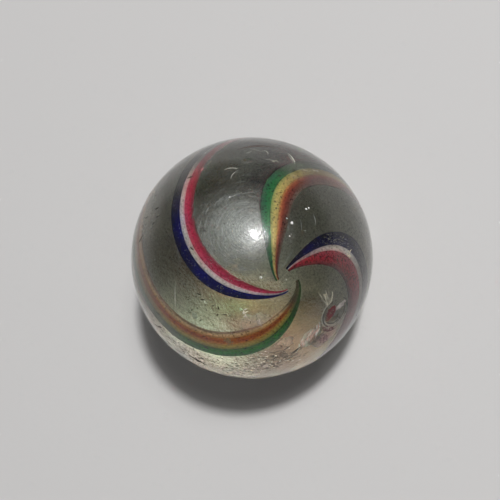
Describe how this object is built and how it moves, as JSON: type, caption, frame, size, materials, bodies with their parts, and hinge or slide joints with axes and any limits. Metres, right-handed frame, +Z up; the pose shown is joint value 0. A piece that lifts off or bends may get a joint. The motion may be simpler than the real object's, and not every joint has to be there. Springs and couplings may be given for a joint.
{
  "type": "glass marble",
  "caption": "Handmade clear glass ball with ribbons of coloured glass strands swirling from pole to pole just under its worn surface.",
  "frame": {"origin": "centre of the ball", "axes": "+Z up as the marble lies, with rest_spot below; the swirl's axis leans 35 degrees from +Z towards +X"},
  "size_m": [0.025, 0.025, 0.025],
  "materials": {
    "clear_glass": "clear grey-green glass, worn satin surface",
    "green_glass": "opaque dark green glass",
    "yellow_glass": "opaque mustard yellow glass",
    "orange_glass": "opaque orange-red glass",
    "amber_glass": "opaque amber glass",
    "maroon_glass": "dark maroon glass",
    "blue_glass": "deep navy blue glass",
    "white_glass": "opaque white glass",
    "red_glass": "crimson glass"
  },
  "bodies": {
    "root": {"clear_glass": "clear_glass", "ribbon_1_green": "green_glass", "ribbon_1_yellow": "yellow_glass", "ribbon_1_orange": "orange_glass", "ribbon_1_amber": "amber_glass", "ribbon_2_blue": "blue_glass", "ribbon_2_white": "white_glass", "ribbon_2_red": "red_glass", "ribbon_3_green": "green_glass", "ribbon_3_yellow": "yellow_glass", "ribbon_3_orange": "orange_glass", "ribbon_3_maroon": "maroon_glass", "ribbon_4_blue": "blue_glass", "ribbon_4_white": "white_glass", "ribbon_4_red": "red_glass"}
  },
  "joints": []
}
